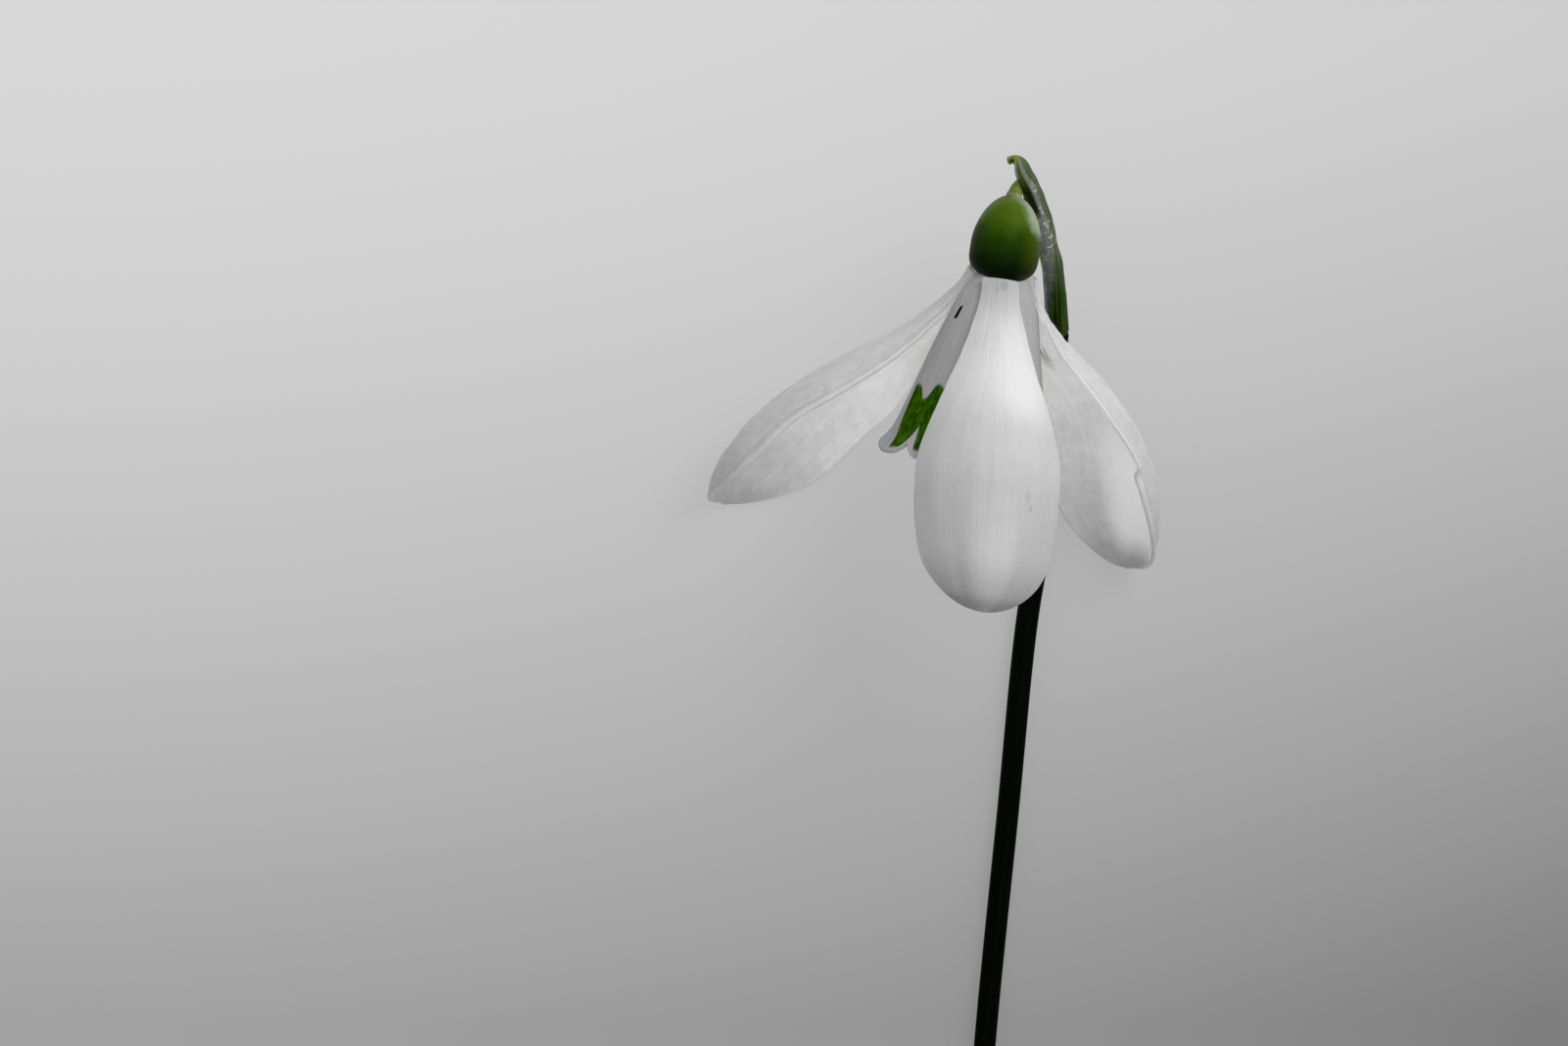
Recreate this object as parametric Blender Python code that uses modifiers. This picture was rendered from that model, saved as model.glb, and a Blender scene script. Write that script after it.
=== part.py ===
"""Snowdrop flower, picked and laid on its back on a flat surface.

Metres, +Z up. The surface is z = 0 and the origin is the middle of the flower's footprint.
+Y runs along the stem towards the flower's top and +X is to the right, seen from above.
The stem lies flat, then rises to the sheath; the flower hangs back over it, and the tips
of its left and right outer tepals rest on the surface with the stem.
"""

from math import cos, pi, radians, sin, sqrt

import bmesh
import bpy
from mathutils import Matrix, Vector

MM = 0.001

# Where the tepals grow from the ovary, and which way the flower hangs.
FLOWER_BASE = Vector((5.5, 34.4, 13.95)) * MM
FLOWER_AXIS = Vector((-0.158, -0.964, -0.212))

# Ovary: an egg with its widest ring nearer the tepals, flat where they grow.
OVARY_RADIUS = 2.9 * MM
OVARY_ABOVE = 4.2 * MM   # widest ring to the stalk
OVARY_BELOW = 2.9 * MM   # widest ring to the tepals
OVARY_TOP_POWER = 1.7    # near 2 gives a round top
OVARY_FOOT_POWER = 4.5   # the higher, the flatter the foot
OVARY_RINGS = (8, 6)     # rings above and below the widest one
OVARY_SIDES = 24

# Tepals, the six petals of two whorls. Angles go clockwise from the top, seen from the ovary.
TEPAL_START = -0.35 * MM  # their bases reach up beside the ovary's rounded foot
OUTER_THICKNESS = 0.45 * MM
INNER_THICKNESS = 0.4 * MM
TIP_POWER = 7            # how blunt the rounded outer tip is
OUTER_CLAW = 0.24        # width at the base, as a share of the widest
CURL_POWER = 0.6         # how fast the arc flattens where the blade is narrower
TIP_SHARE = 1e-9         # keeps the tip's width above nothing
OUTER_GRID = (10, 18)    # faces across and along
INNER_GRID = (12, 12)

OUTER_TEPALS = {
    # spine: four Bezier points, (along the flower's axis, out from it, to the side)
    # twist: turn of the blade about its spine at the base and at the tip, in degrees
    # widest: where along it the blade is widest; curl: degrees of its arc each side there
    "outer_tepal_front": {
        "angle": 0, "twist": (0, 0), "half_width": 5.7, "widest": 0.62, "curl": 72,
        "spine": ((0, 3.05, -0.35), (7.5, 6.9, 0.7), (18.5, 15.2, 2.1), (24.5, 14.6, 3.0)),
    },
    "outer_tepal_left": {
        "angle": -111, "twist": (0, 22), "half_width": 5.8, "widest": 0.53, "curl": 80,
        "spine": ((0, 3.05, 0), (5.0, 4.6, 0), (13.4, 21.0, 0), (24.6, 21.1, 0)),
    },
    "outer_tepal_right": {
        "angle": 118, "twist": (0, -22), "half_width": 5.8, "widest": 0.52, "curl": 78,
        "spine": ((0, 3.05, 0), (4.5, 4.4, 0), (10.5, 17.8, 0), (24.1, 16.5, 0)),
    },
}

INNER_TEPALS = {
    # angle and how far it flares
    "inner_tepal_left": (-50, 1.0),
    "inner_tepal_right": (64, 0.84),
    "inner_tepal_back": (-173, 0.92),
}
INNER_SPINE = ((0, 2.35, 0), (2.5, 4.0, 0), (10.0, 4.4, 0), (15.3, 7.0, 0))
INNER_HALF_WIDTH = 4.2
INNER_CLAW = 0.3
INNER_WIDEST = 0.85      # where along it the blade reaches its full width
INNER_CURL = (35, 29)    # degrees each side of the midrib, at the base and at the lobes
NOTCH_DEPTH = 0.15       # share of the length cut out between the two lobes
NOTCH_POWER = 1.5        # how pointed the notch is
LOBE_PLACE = 0.5         # where each lobe ends, as a share of the half width
CORNER_DEPTH = 0.16      # share of the length the outer corner of each lobe is cut back
CORNER_POWER = 2.5       # how late that corner starts to round

# Stamens and style, inside the inner tepals.
STAMEN_COUNT = 6
STAMEN_START = 0.25 * MM  # clearance to the ovary
STAMEN_RING = 1.45 * MM
STAMEN_LEAN = radians(8)
FILAMENT_RADIUS = 0.2 * MM
ANTHER_BASE, ANTHER_TIP = 1.8 * MM, 6.8 * MM
ANTHER_RADII = (               # radius and height, from the tip down
    (0.1 * MM, ANTHER_TIP), (0.36 * MM, 3.6 * MM), (0.48 * MM, 2.2 * MM), (0.384 * MM, ANTHER_BASE),
)
STYLE_LENGTH = 8.4 * MM
STYLE_RADII = (0.14 * MM, 0.24 * MM)  # at its end and at the ovary
THIN_SIDES = 10                # sides of the stamens and the style

# Stem, sheath and stalk: points on their centre lines, from FLOWER_BASE in x and y
# and from the surface in z.
SCAPE_RADII = (0.9, 0.96)
SCAPE_PATH = (
    (-1.8, -79.0, 0.92), (-0.5, -62.0, 0.92), (1.1, -44.0, 0.94), (2.5, -28.0, 0.95),
    (3.6, -16.0, 0.98), (4.5, -8.0, 1.7), (4.88, -4.15, 4.2),
)
SPATHE_PATH = (
    (4.85, -3.9, 4.5), (4.4, -0.6, 7.4), (3.8, 2.3, 9.9), (3.0, 5.2, 12.3),
    (2.15, 7.6, 14.9), (1.25, 9.4, 16.6), (0.4, 10.0, 16.9),
)
SPATHE_THICKNESS = 0.25 * MM
SPATHE_RADIUS = 0.95 * MM
SPATHE_TIP_LOSS = 0.75         # share of the radius lost at the tip
SPATHE_NARROWS = 0.7           # where along it the narrowing starts
SPATHE_HALF_ANGLE = 150        # degrees each side of its back, at the stem
SPATHE_OPENS = 70              # degrees lost by half its length
SPATHE_OPENS_ON = 20           # degrees lost evenly over all its length
SPATHE_OPENING = Vector((-1, 0.25, 0.35))  # towards the ovary, where it is split
SPATHE_COLUMNS = 10
SCAPE_STEPS, SPATHE_STEPS, PEDICEL_STEPS = 5, 4, 3  # path steps between two points
STEM_BEVEL = 3                 # roundness of the stem and the stalk
MERGE_DISTANCE = 0.00001
PEDICEL_RADIUS = 0.42 * MM
PEDICEL_PATH = (
    (4.82, -3.9, 4.55), (4.28, -0.6, 7.45), (3.6, 2.3, 10.0), (2.72, 5.2, 12.35), (2.32, 6.3, 13.4),
    (1.9, 7.45, 14.8), (1.66, 8.25, 15.9), (1.38, 8.38, 16.15), (1.22, 7.8, 15.75), (1.17, 7.3, 15.58),
)

COLOURS = {
    # node prefix: colour, roughness
    "scape": ((0.010, 0.022, 0.006), 0.5),
    "spathe": ((0.10, 0.16, 0.06), 0.45),
    "pedicel": ((0.12, 0.19, 0.03), 0.45),
    "ovary": ((0.04, 0.12, 0.006), 0.35),
    "outer": ((0.80, 0.80, 0.80), 0.55),
    "inner": ((0.70, 0.71, 0.69), 0.55),
    "stamen": ((0.75, 0.38, 0.04), 0.6),
    "style": ((0.72, 0.76, 0.55), 0.5),
}


def clear_scene():
    for obj in list(bpy.data.objects):
        bpy.data.objects.remove(obj, do_unlink=True)


def material_for(name):
    colour, roughness = COLOURS[name.split("_")[0]]
    material = bpy.data.materials.new(name)
    material.use_nodes = True
    shader = material.node_tree.nodes["Principled BSDF"]
    shader.inputs["Base Color"].default_value = (*colour, 1.0)
    shader.inputs["Roughness"].default_value = roughness
    shader.inputs["Metallic"].default_value = 0.0
    material.diffuse_color = (*colour, 1.0)
    return material


def add_object(name, data, collection, parent=None):
    obj = bpy.data.objects.new(name, data)
    data.materials.append(material_for(name))
    obj.parent = parent
    collection.objects.link(obj)
    return obj


def flower_empty(collection):
    """An empty whose +Z is the flower's axis and whose +Y is its upper side."""
    axis = FLOWER_AXIS.normalized()
    up = (Vector((0, 0, 1)) - axis * axis.z).normalized()
    right = up.cross(axis)
    empty = bpy.data.objects.new("flower_axis", None)
    turn = Matrix((right, up, axis)).transposed().to_4x4()
    empty.matrix_world = Matrix.Translation(FLOWER_BASE) @ turn
    collection.objects.link(empty)
    return empty


def smooth_step(x):
    x = min(max(x, 0.0), 1.0)
    return x * x * (3 - 2 * x)


def bezier(points, t):
    """Point and direction on a cubic Bezier curve."""
    a, b, c, d = (Vector(p) for p in points)
    s = 1 - t
    place = a * s**3 + b * 3 * s * s * t + c * 3 * s * t * t + d * t**3
    heading = (b - a) * s * s + (c - b) * 2 * s * t + (d - c) * t * t
    return place, heading.normalized()


def smooth_path(points, steps):
    """A curve through all points (Catmull-Rom), with a number of steps between each two."""
    ends = [points[0] * 2 - points[1], *points, points[-1] * 2 - points[-2]]
    path = []
    for a, b, c, d in zip(ends, ends[1:], ends[2:], ends[3:]):
        for i in range(steps):
            t = i / steps
            path.append(0.5 * (b * 2 + (c - a) * t + (a * 2 - b * 5 + c * 4 - d) * t * t
                               + (b * 3 - a - c * 3 + d) * t**3))
    path.append(points[-1])
    return path


def grid_mesh(name, size, place):
    """A grid whose points go to place(u, v): u from 0 to 1 along it, v from -1 to 1 across."""
    columns, rows = size
    mesh = bpy.data.meshes.new(name)
    bm = bmesh.new()
    bmesh.ops.create_grid(bm, x_segments=columns, y_segments=rows, size=1)
    for vert in bm.verts:
        vert.co = place((vert.co.y + 1) / 2, vert.co.x)
    bmesh.ops.remove_doubles(bm, verts=bm.verts, dist=MERGE_DISTANCE)
    bm.to_mesh(mesh)
    bm.free()
    mesh.shade_smooth()
    return mesh


def shell(name, mesh, thickness, collection, parent=None):
    """A closed shell: the grid is one of its faces, and the thickness goes to the grid's back."""
    obj = add_object(name, mesh, collection, parent)
    solid = obj.modifiers.new("thickness", "SOLIDIFY")
    solid.thickness = thickness
    solid.offset = -1
    return obj


def tepal_point(spec, u, v, half_chord, half_angle):
    """A point of a tepal's inner face: an arc across the spine, turned by its twist."""
    turn = radians(spec["angle"])
    # the tepal's own axes: along the flower, out from its axis and across to the right
    axes = Matrix(((0, 0, 1), (sin(turn), cos(turn), 0), (cos(turn), -sin(turn), 0))).transposed()
    place, heading = bezier(spec["spine"], u)
    start, end = spec["twist"]
    twist = Matrix.Rotation(radians(start + (end - start) * u), 3, axes @ heading)
    outward = twist @ axes @ Vector((-heading.y, heading.x, 0)).normalized()
    across = twist @ axes @ Vector((0, 0, 1))
    radius = half_chord / sin(half_angle)
    angle = half_angle * v
    bend = across * radius * sin(angle) - outward * radius * (1 - cos(angle))
    return (axes @ place + bend) * MM + Vector((0, 0, TEPAL_START))


def outer_tepal(name, spec, collection, parent):
    def place(u, v):
        u = sin(u * pi / 2)  # rows closer together at the rounded tip
        claw = OUTER_CLAW + (1 - OUTER_CLAW) * smooth_step(u / spec["widest"])
        share = claw * sqrt(max(1 - u**TIP_POWER, TIP_SHARE))
        curl = radians(spec["curl"]) * share**CURL_POWER
        return tepal_point(spec, u, v, spec["half_width"] * share, curl)

    shell(name, grid_mesh(name, OUTER_GRID, place), OUTER_THICKNESS, collection, parent)


def inner_tepal(name, angle, flare, collection, parent):
    start = INNER_SPINE[0][1]
    spine = [(along, start + (out - start) * flare, side) for along, out, side in INNER_SPINE]
    spec = {"angle": angle, "twist": (0, 0), "spine": spine}

    def place(u, v):
        notch = NOTCH_DEPTH * max(0.0, 1 - abs(v) / LOBE_PLACE) ** NOTCH_POWER
        corner = CORNER_DEPTH * max(0.0, (abs(v) - LOBE_PLACE) / (1 - LOBE_PLACE)) ** CORNER_POWER
        u = u * (1 - notch - corner)
        share = INNER_CLAW + (1 - INNER_CLAW) * smooth_step(u / INNER_WIDEST)
        curl = INNER_CURL[0] + (INNER_CURL[1] - INNER_CURL[0]) * u
        return tepal_point(spec, u, v, INNER_HALF_WIDTH * share, radians(curl))

    shell(name, grid_mesh(name, INNER_GRID, place), INNER_THICKNESS, collection, parent)


def turned(name, profile, sides, collection, parent):
    """A profile of (radius, height) from the top down, turned about +Z with its ends closed."""
    mesh = bpy.data.meshes.new(name)
    bm = bmesh.new()
    verts = [bm.verts.new((radius, 0, height)) for radius, height in profile]
    for a, b in zip(verts, verts[1:]):
        bm.edges.new((a, b))
    bm.to_mesh(mesh)
    bm.free()
    obj = add_object(name, mesh, collection, parent)
    screw = obj.modifiers.new("turned", "SCREW")
    screw.steps = screw.render_steps = sides
    screw.use_merge_vertices = True
    screw.merge_threshold = MERGE_DISTANCE
    screw.use_smooth_shade = True
    return obj


def ovary(collection, parent):
    def radius(height):
        if height > 0:
            share = (height / OVARY_ABOVE) ** OVARY_TOP_POWER
        else:
            share = (-height / OVARY_BELOW) ** OVARY_FOOT_POWER
        return OVARY_RADIUS * sqrt(max(1 - share, 0))

    above, below = OVARY_RINGS
    heights = [OVARY_ABOVE * cos(pi / 2 * i / above) for i in range(above + 1)]
    heights += [-OVARY_BELOW * sin(pi / 2 * i / (below + 1)) for i in range(1, below + 1)]
    profile = [(radius(h), h) for h in heights]
    profile[0] = (0, OVARY_ABOVE)
    profile.append((0, heights[-1]))
    obj = turned("ovary", profile, OVARY_SIDES, collection, parent)
    # the profile's up is the stalk's side, so it is turned over to hang above the tepals
    obj.matrix_local = Matrix.Translation((0, 0, -OVARY_BELOW)) @ Matrix.Rotation(pi, 4, "X")


def stamens(collection, parent):
    profile = [(0, ANTHER_TIP), *ANTHER_RADII, (FILAMENT_RADIUS, ANTHER_BASE), (FILAMENT_RADIUS, 0), (0, 0)]
    for number in range(STAMEN_COUNT):
        obj = turned(f"stamen_{number + 1}", profile, THIN_SIDES, collection, parent)
        turn = Matrix.Rotation(2 * pi * (number + 0.5) / STAMEN_COUNT, 4, "Z")
        lean = Matrix.Rotation(-STAMEN_LEAN, 4, "Y")
        obj.matrix_local = turn @ Matrix.Translation((STAMEN_RING, 0, STAMEN_START)) @ lean


def style(collection, parent):
    end, foot = STYLE_RADII
    profile = [(0, STYLE_LENGTH), (end, STYLE_LENGTH), (foot, 0), (0, 0)]
    obj = turned("style", profile, THIN_SIDES, collection, parent)
    obj.matrix_local = Matrix.Translation((0, 0, STAMEN_START))


def lying_path(points, steps):
    """Centre line in world metres: x and y from the flower's base, z from the surface."""
    base = Vector((FLOWER_BASE.x, FLOWER_BASE.y, 0))
    return [base + p * MM for p in smooth_path([Vector(p) for p in points], steps)]


def round_stem(name, path, radii, collection):
    curve = bpy.data.curves.new(name, "CURVE")
    curve.dimensions = "3D"
    curve.bevel_depth = 1.0  # so each point's radius is in metres
    curve.bevel_resolution = STEM_BEVEL
    curve.use_fill_caps = True
    spline = curve.splines.new("POLY")
    spline.points.add(len(path) - 1)
    last = len(path) - 1
    for i, (point, target) in enumerate(zip(spline.points, path)):
        point.co = (*target, 1)
        point.radius = radii[0] + (radii[1] - radii[0]) * i / last
    spline.use_smooth = True
    add_object(name, curve, collection)


def spathe(collection):
    path = lying_path(SPATHE_PATH, SPATHE_STEPS)
    last = len(path) - 1
    opening = SPATHE_OPENING.normalized()

    def place(u, v):
        i = round(u * last)
        heading = (path[min(i + 1, last)] - path[max(i - 1, 0)]).normalized()
        back = -(opening - heading * opening.dot(heading)).normalized()
        side = heading.cross(back)
        drawn = smooth_step((u - SPATHE_NARROWS) / (1 - SPATHE_NARROWS))
        radius = SPATHE_RADIUS * (1 - SPATHE_TIP_LOSS * drawn)
        half_angle = SPATHE_HALF_ANGLE - SPATHE_OPENS * smooth_step(2 * u) - SPATHE_OPENS_ON * u
        angle = radians(half_angle) * v
        return path[i] + back * radius * cos(angle) + side * radius * sin(angle)

    mesh = grid_mesh("spathe", (SPATHE_COLUMNS, last), place)
    shell("spathe", mesh, SPATHE_THICKNESS, collection)


def build():
    clear_scene()
    collection = bpy.data.collections.new("snowdrop_flower")
    bpy.context.scene.collection.children.link(collection)
    flower = flower_empty(collection)
    ovary(collection, flower)
    for name, spec in OUTER_TEPALS.items():
        outer_tepal(name, spec, collection, flower)
    for name, (angle, flare) in INNER_TEPALS.items():
        inner_tepal(name, angle, flare, collection, flower)
    stamens(collection, flower)
    style(collection, flower)
    round_stem("scape", lying_path(SCAPE_PATH, SCAPE_STEPS), [r * MM for r in SCAPE_RADII], collection)
    round_stem("pedicel", lying_path(PEDICEL_PATH, PEDICEL_STEPS), [PEDICEL_RADIUS] * 2, collection)
    spathe(collection)


build()
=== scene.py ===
from math import cos, pi, radians, sin, sqrt

import bmesh
import bpy
from mathutils import Matrix, Vector, noise


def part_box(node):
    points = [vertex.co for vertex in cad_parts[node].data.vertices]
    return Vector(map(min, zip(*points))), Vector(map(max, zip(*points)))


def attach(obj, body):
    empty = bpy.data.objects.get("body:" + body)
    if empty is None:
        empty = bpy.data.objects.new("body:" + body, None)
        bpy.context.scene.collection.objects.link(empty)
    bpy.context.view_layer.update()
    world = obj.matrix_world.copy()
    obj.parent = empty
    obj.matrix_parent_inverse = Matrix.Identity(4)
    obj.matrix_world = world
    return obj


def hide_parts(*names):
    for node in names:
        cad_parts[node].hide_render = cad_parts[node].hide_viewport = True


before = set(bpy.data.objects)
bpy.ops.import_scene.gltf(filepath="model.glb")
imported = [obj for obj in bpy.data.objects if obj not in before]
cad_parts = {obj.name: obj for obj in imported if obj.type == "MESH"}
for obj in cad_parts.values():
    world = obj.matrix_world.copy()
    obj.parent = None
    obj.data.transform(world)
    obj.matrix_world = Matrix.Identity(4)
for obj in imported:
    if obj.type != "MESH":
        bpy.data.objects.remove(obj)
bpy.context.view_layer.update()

mm = 0.001

# the flower hangs from the ovary's foot, which the ovary's CAD box gives
flower = {
    "footFromOvary": Vector((-0.395, -3.36, -0.54)) * mm,  # from the middle of that box
    "axis": Vector((-0.158, -0.964, -0.212)),              # from the foot towards the tepal tips
}
ovaryLow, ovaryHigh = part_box("ovary")
foot = (ovaryLow + ovaryHigh) / 2 + flower["footFromOvary"]
axisDown = flower["axis"].normalized()
axisUp = (Vector((0, 0, 1)) - axisDown * axisDown.z).normalized()
axisRight = axisUp.cross(axisDown)
# the flower's own frame: +Z towards the tips, +Y its upper side, +X to the right
flowerFrame = Matrix.Translation(foot) @ Matrix((axisRight, axisUp, axisDown)).transposed().to_4x4()


def smoothStep(x):
    x = min(max(x, 0.0), 1.0)
    return x * x * (3 - 2 * x)


def alongCurve(points, x):
    # a smooth curve through listed (place, value) pairs, level at both ends
    slopes = [0.0]
    for (x0, y0), (x2, y2) in zip(points, points[2:]):
        slopes.append((y2 - y0) / (x2 - x0))
    slopes.append(0.0)
    for i in range(len(points) - 1):
        (x0, y0), (x1, y1) = points[i], points[i + 1]
        if x <= x1:
            wide = x1 - x0
            t = (x - x0) / wide
            s = 1 - t
            return ((1 + 2 * t) * s * s * y0 + t * s * s * wide * slopes[i]
                    + t * t * (1 + 2 * s) * y1 - t * t * s * wide * slopes[i + 1])
    return points[-1][1]


def bezier(points, t):
    a, b, c, d = (Vector(p) for p in points)
    s = 1 - t
    place = a * s**3 + b * 3 * s * s * t + c * 3 * s * t * t + d * t**3
    heading = (b - a) * s * s + (c - b) * 2 * s * t + (d - c) * t * t
    return place, heading.normalized()


def smoothPath(points, steps):
    # a Catmull-Rom curve through all points
    points = [Vector(p) for p in points]
    ends = [points[0] * 2 - points[1], *points, points[-1] * 2 - points[-2]]
    path = []
    for a, b, c, d in zip(ends, ends[1:], ends[2:], ends[3:]):
        for i in range(steps):
            t = i / steps
            path.append(0.5 * (b * 2 + (c - a) * t + (a * 2 - b * 5 + c * 4 - d) * t * t
                               + (b * 3 - a - c * 3 + d) * t**3))
    path.append(points[-1])
    return path


def headingAt(path, i):
    return (path[min(i + 1, len(path) - 1)] - path[max(i - 1, 0)]).normalized()


def wobble(x, y, seed):
    return noise.noise(Vector((x, y, seed * 7.31)))


def sheetMesh(name, columns, rows, place):
    # a grid bent by place(along, across); its own map keeps across and along for the materials
    mesh = bpy.data.meshes.new(name)
    bm = bmesh.new()
    bmesh.ops.create_grid(bm, x_segments=columns, y_segments=rows, size=1)
    layer = bm.loops.layers.uv.new("blade")
    for face in bm.faces:
        for loop in face.loops:
            loop[layer].uv = ((1 - loop.vert.co.x) / 2, (loop.vert.co.y + 1) / 2)
    for vert in bm.verts:
        vert.co = place((vert.co.y + 1) / 2, -vert.co.x)
    bm.to_mesh(mesh)
    bm.free()
    mesh.shade_smooth()
    return mesh


def tubeMesh(name, path, radius, sides):
    # a round tube along the path, radius(share of its length), with low domes at both ends
    last = len(path) - 1
    sideways = []
    side = Vector((1, 0, 0))
    for i in range(last + 1):
        heading = headingAt(path, i)
        side = (side - heading * side.dot(heading)).normalized()
        sideways.append((side, heading.cross(side)))

    def place(u, v):
        i = round(u * last)
        first, second = sideways[i]
        angle = pi * (v + 1)
        return path[i] + (second * cos(angle) - first * sin(angle)) * radius(i / last)

    mesh = sheetMesh(name, sides, last, place)
    bm = bmesh.new()
    bm.from_mesh(mesh)
    bmesh.ops.remove_doubles(bm, verts=bm.verts, dist=0.001 * mm)  # closes the seam
    openEdges = [edge for edge in bm.edges if edge.is_boundary]
    caps = bmesh.ops.holes_fill(bm, edges=openEdges)["faces"]
    bmesh.ops.recalc_face_normals(bm, faces=bm.faces)
    for cap in caps:
        outward = cap.normal * radius(0) * 0.06
        bmesh.ops.inset_individual(bm, faces=[cap], thickness=radius(0) * 0.25)
        for vert in cap.verts:
            vert.co += outward
    bm.to_mesh(mesh)
    bm.free()
    mesh.shade_smooth()
    return mesh


def turnedMesh(name, outline, steps, place):
    # an outline of (radius, height) in mm, spun about the axis of place
    mesh = bpy.data.meshes.new(name)
    bm = bmesh.new()
    verts = [bm.verts.new((radius * mm, 0, height * mm)) for radius, height in outline]
    edges = [bm.edges.new(pair) for pair in zip(verts, verts[1:])]
    bmesh.ops.spin(bm, geom=verts + edges, axis=(0, 0, 1), cent=(0, 0, 0), dvec=(0, 0, 0),
                   angle=2 * pi, steps=steps, use_merge=True, use_duplicate=False)
    bmesh.ops.remove_doubles(bm, verts=bm.verts, dist=0.002 * mm)
    bmesh.ops.recalc_face_normals(bm, faces=bm.faces)
    bm.transform(place)
    bm.to_mesh(mesh)
    bm.free()
    mesh.shade_smooth()
    return mesh


def addPiece(name, mesh, materials, node):
    piece = bpy.data.objects.new(name, mesh)
    for material in materials:
        mesh.materials.append(material)
    bpy.context.scene.collection.objects.link(piece)
    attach(piece, "root")
    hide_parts(node)
    return piece


def thicken(piece, thickness, inside=0):
    solid = piece.modifiers.new("thickness", "SOLIDIFY")
    solid.thickness = thickness
    solid.offset = -1
    solid.material_offset = inside


def soften(piece):
    smooth = piece.modifiers.new("soft", "SUBSURF")
    smooth.levels = smooth.render_levels = 1


def feed(tree, value, socket):
    if isinstance(value, bpy.types.NodeSocket):
        tree.links.new(value, socket)
    else:
        socket.default_value = value


def calc(tree, operation, *values):
    node = tree.nodes.new("ShaderNodeMath")
    node.operation = operation
    for value, socket in zip(values, node.inputs):
        feed(tree, value, socket)
    return node.outputs[0]


def plus(tree, first, second):
    return calc(tree, "ADD", first, second)


def minus(tree, first, second):
    return calc(tree, "SUBTRACT", first, second)


def times(tree, first, *others):
    for value in others:
        first = calc(tree, "MULTIPLY", first, value)
    return first


def away(tree, value, middle):
    return calc(tree, "ABSOLUTE", minus(tree, value, middle))


def swing(tree, grainValue, reach):
    # a noise swung evenly to both sides of 0
    return times(tree, minus(tree, grainValue, 0.5), reach)


def rise(tree, value, low, high, start=0.0, end=1.0):
    # from start at low to end at high, and held level past both
    node = tree.nodes.new("ShaderNodeMapRange")
    node.interpolation_type = "SMOOTHSTEP"
    for item, socket in zip((value, low, high, start, end), node.inputs):
        feed(tree, item, socket)
    return node.outputs[0]


def span(tree, value, low, high):
    # the same from 0 to 1, in a straight line
    node = tree.nodes.new("ShaderNodeMapRange")
    for item, socket in zip((value, low, high), node.inputs):
        feed(tree, item, socket)
    return node.outputs[0]


def colour(value):
    if isinstance(value, bpy.types.NodeSocket):
        return value
    if isinstance(value, (int, float)):
        return (value, value, value, 1.0)
    return (*value, 1.0)


def mixed(tree, share, first, second, mode="MIX"):
    node = tree.nodes.new("ShaderNodeMix")
    node.data_type = "RGBA"
    node.blend_type = mode
    feed(tree, share, node.inputs[0])
    feed(tree, colour(first), node.inputs[6])
    feed(tree, colour(second), node.inputs[7])
    return node.outputs[2]


def shaded(tree, base, amount):
    return mixed(tree, 1.0, base, amount, "MULTIPLY")


def grain(tree, place, stretch, detail=3.0, roughness=0.5, twist=0.0):
    # noise between 0 and 1, stretched along each direction
    mapping = tree.nodes.new("ShaderNodeMapping")
    mapping.inputs["Scale"].default_value = stretch
    tree.links.new(place, mapping.inputs["Vector"])
    node = tree.nodes.new("ShaderNodeTexNoise")
    tree.links.new(mapping.outputs[0], node.inputs["Vector"])
    node.inputs["Scale"].default_value = 1.0
    node.inputs["Detail"].default_value = detail
    node.inputs["Roughness"].default_value = roughness
    node.inputs["Distortion"].default_value = twist
    return node.outputs["Fac"]


def ramp(tree, value, stops):
    # grey levels listed as (place, level) pairs, smooth in between
    node = tree.nodes.new("ShaderNodeValToRGB")
    node.color_ramp.interpolation = "EASE"
    for place, level in stops[1:-1]:
        node.color_ramp.elements.new(place)
    for element, (place, level) in zip(node.color_ramp.elements, stops):
        element.position = place
        element.color = colour(level)
    feed(tree, value, node.inputs[0])
    return node.outputs["Color"]


def startMaterial(name, surface):
    material = bpy.data.materials.new(name)
    material.use_nodes = True
    tree = material.node_tree
    shader = tree.nodes["Principled BSDF"]
    for socket, value in surface.items():
        shader.inputs[socket].default_value = value
    coordinates = tree.nodes.new("ShaderNodeTexCoord")
    split = tree.nodes.new("ShaderNodeSeparateXYZ")
    tree.links.new(coordinates.outputs["UV"], split.inputs[0])
    places = {"object": coordinates.outputs["Object"], "blade": coordinates.outputs["UV"],
              "across": split.outputs[0], "along": split.outputs[1]}
    return material, tree, shader, places


def relief(tree, shader, height, depth):
    bump = tree.nodes.new("ShaderNodeBump")
    bump.inputs["Strength"].default_value = 1.0
    bump.inputs["Distance"].default_value = depth
    tree.links.new(height, bump.inputs["Height"])
    tree.links.new(bump.outputs[0], shader.inputs["Normal"])


def spot(tree, places, across, along, width, length, softness):
    # 1 inside an oval on the blade, falling to 0 at its rim
    x = calc(tree, "DIVIDE", minus(tree, places["across"], across), width)
    y = calc(tree, "DIVIDE", minus(tree, places["along"], along), length)
    distance = calc(tree, "SQRT", plus(tree, times(tree, x, x), times(tree, y, y)))
    return rise(tree, distance, 1.0, softness)


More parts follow.
